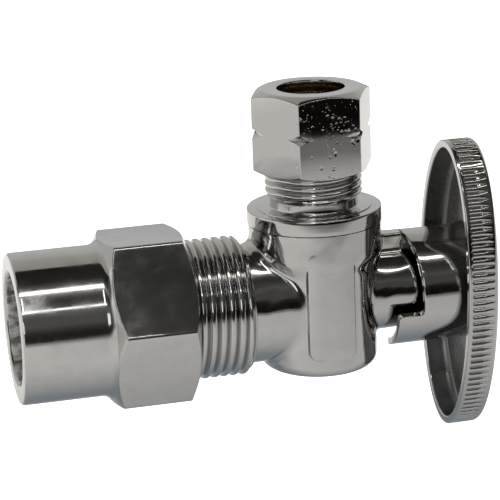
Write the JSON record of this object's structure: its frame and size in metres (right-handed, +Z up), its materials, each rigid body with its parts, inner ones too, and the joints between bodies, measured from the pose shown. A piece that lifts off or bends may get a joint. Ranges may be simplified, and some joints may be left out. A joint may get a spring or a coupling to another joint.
{
  "type": "angle stop valve",
  "caption": "Chrome quarter-turn angle stop valve: compression nut on the inlet, smaller compression nut on the upright outlet, oval ribbed handle.",
  "frame": {"origin": "centre of the inlet nut's open end, on the inlet's axis", "axes": "+X along the inlet's axis towards the handle, +Z up along the outlet's axis, -Y towards the flat pad on the barrel"},
  "size_m": [0.0705, 0.0274, 0.0546],
  "materials": {
    "chrome": "polished chrome plate on brass",
    "brass": "turned brass",
    "steel": "zinc-plated steel",
    "ptfe": "white PTFE",
    "rubber": "black nitrile rubber"
  },
  "bodies": {
    "valve_body": {"valve_body": "chrome", "outlet_adapter": "chrome", "adapter_oring": "rubber", "outlet_seat": "ptfe", "outlet_seat_oring": "rubber", "lower_seat": "ptfe", "lower_seat_oring": "rubber", "stem_washer": "ptfe"},
    "handle_and_stem": {"handle": "chrome", "handle_cap": "chrome", "handle_screw": "steel", "screw_washer": "steel", "stem": "brass", "stem_oring_inner": "rubber", "stem_oring_outer": "rubber", "ball": "chrome"},
    "inlet_sleeve": {"inlet_ferrule": "brass"},
    "inlet_nut": {"inlet_nut": "chrome"},
    "outlet_sleeve": {"outlet_ferrule": "brass"},
    "outlet_nut": {"outlet_nut": "chrome"}
  },
  "joints": [
    {"name": "handle_turn", "type": "hinge", "parent": "valve_body", "child": "handle_and_stem", "pos_m": [0.04542, 0, 0], "axis": [-1, 0, 0], "range_deg": [0, 94]},
    {"name": "inlet_sleeve_slide", "type": "slide", "parent": "valve_body", "child": "inlet_sleeve", "axis": [-1, 0, 0], "range_m": [0, 0.0092]},
    {"name": "inlet_nut_turn", "type": "hinge", "parent": "inlet_sleeve", "child": "inlet_nut", "pos_m": [0, 0, 0], "axis": [-1, 0, 0], "range_deg": [0, 2340]},
    {"name": "outlet_sleeve_slide", "type": "slide", "parent": "valve_body", "child": "outlet_sleeve", "axis": [0, 0, 1], "range_m": [0, 0.00583]},
    {"name": "outlet_nut_turn", "type": "hinge", "parent": "outlet_sleeve", "child": "outlet_nut", "pos_m": [0.04542, 0, 0.02], "axis": [0, 0, 1], "range_deg": [0, 1980]}
  ],
  "couplings": [
    {"joint": "inlet_sleeve_slide", "follows": "inlet_nut_turn", "m_per_rad": 0.00022458},
    {"joint": "outlet_sleeve_slide", "follows": "outlet_nut_turn", "m_per_rad": 0.00016844}
  ]
}
